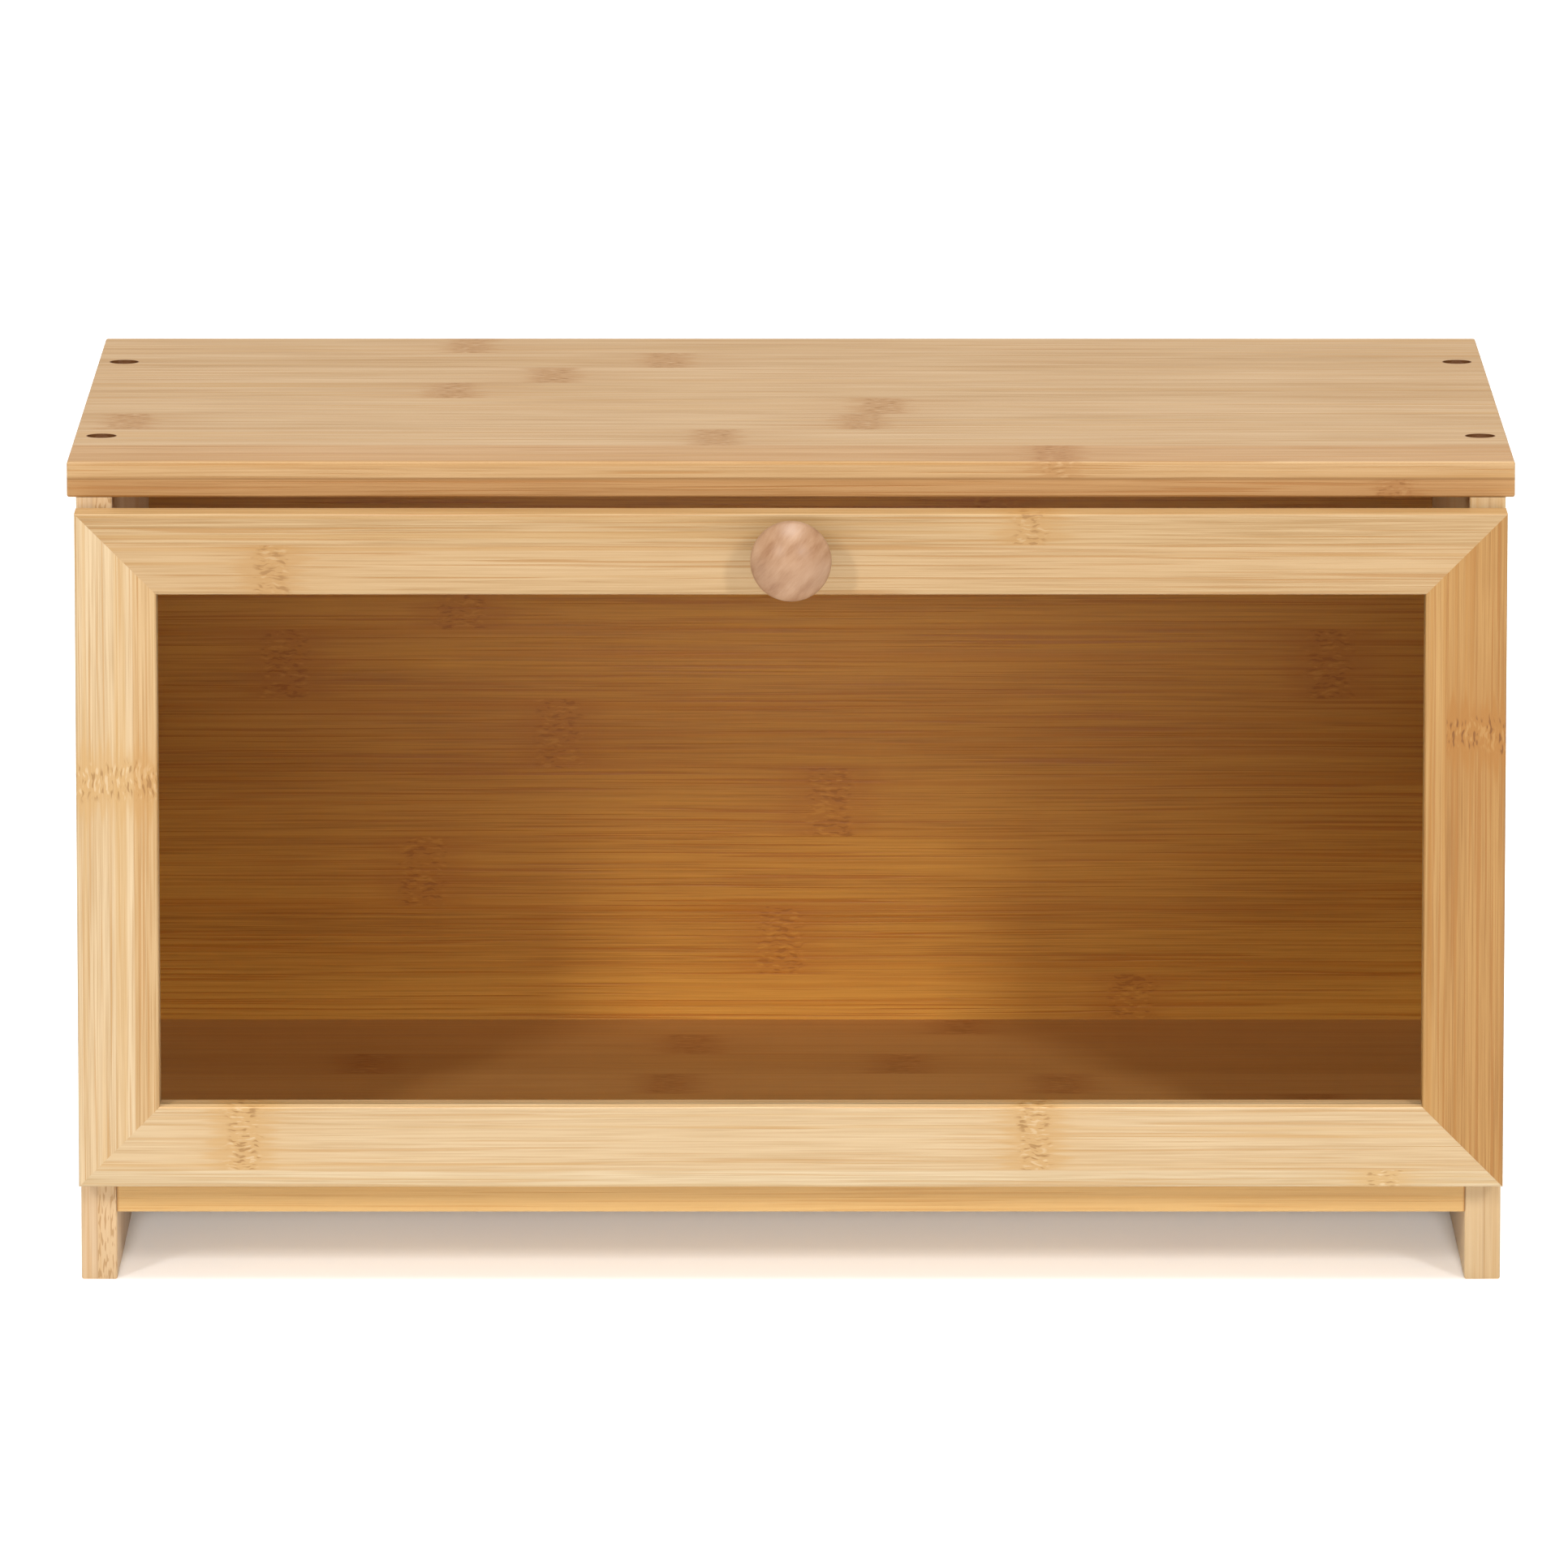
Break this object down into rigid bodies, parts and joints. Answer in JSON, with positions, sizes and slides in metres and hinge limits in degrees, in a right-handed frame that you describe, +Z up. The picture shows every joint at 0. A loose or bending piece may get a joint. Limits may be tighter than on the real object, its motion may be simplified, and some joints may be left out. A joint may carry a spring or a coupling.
{
  "type": "bread box",
  "caption": "Flat-topped bamboo bread box with a mitred window door that drops down on hinges along its lower edge, a turned knob, and side panels that run down past the floor to stand on.",
  "frame": {"origin": "centre of the bounding box, on the surface that the feet stand on", "axes": "+Z up, the door faces -Y, +X to the right as seen from the front"},
  "size_m": [0.4, 0.2816, 0.23],
  "materials": {
    "carcass_bamboo": "satin clear lacquer over two-ply bamboo",
    "door_bamboo": "satin clear lacquer over pale bamboo",
    "knob_wood": "satin turned hardwood",
    "clear_acrylic": "clear polished sheet",
    "hinge_brass": "brass-plated",
    "screw_steel": "zinc-plated",
    "magnet_nickel": "nickel-plated",
    "strike_steel": "plain steel"
  },
  "bodies": {
    "box": {"top_board": "carcass_bamboo", "left_side_panel": "carcass_bamboo", "right_side_panel": "carcass_bamboo", "bottom_board": "carcass_bamboo", "back_panel": "carcass_bamboo", "top_screws": "screw_steel", "bottom_screws": "screw_steel", "left_catch_magnet": "magnet_nickel", "right_catch_magnet": "magnet_nickel", "left_hinge_body_leaf": "hinge_brass", "right_hinge_body_leaf": "hinge_brass", "left_hinge_pin": "hinge_brass", "right_hinge_pin": "hinge_brass", "hinge_body_screws": "screw_steel"},
    "door": {"door_top_rail": "door_bamboo", "door_bottom_rail": "door_bamboo", "door_left_stile": "door_bamboo", "door_right_stile": "door_bamboo", "mitre_keys": "door_bamboo", "window_pane": "clear_acrylic", "door_knob": "knob_wood", "knob_screw": "screw_steel", "left_hinge_door_leaf": "hinge_brass", "right_hinge_door_leaf": "hinge_brass", "hinge_door_screws": "screw_steel", "left_strike_plate": "strike_steel", "right_strike_plate": "strike_steel"}
  },
  "joints": [
    {"name": "door_hinge", "type": "hinge", "parent": "box", "child": "door", "pos_m": [0, -0.1095, 0.0284], "axis": [1, 0, 0], "range_deg": [0, 89]}
  ]
}
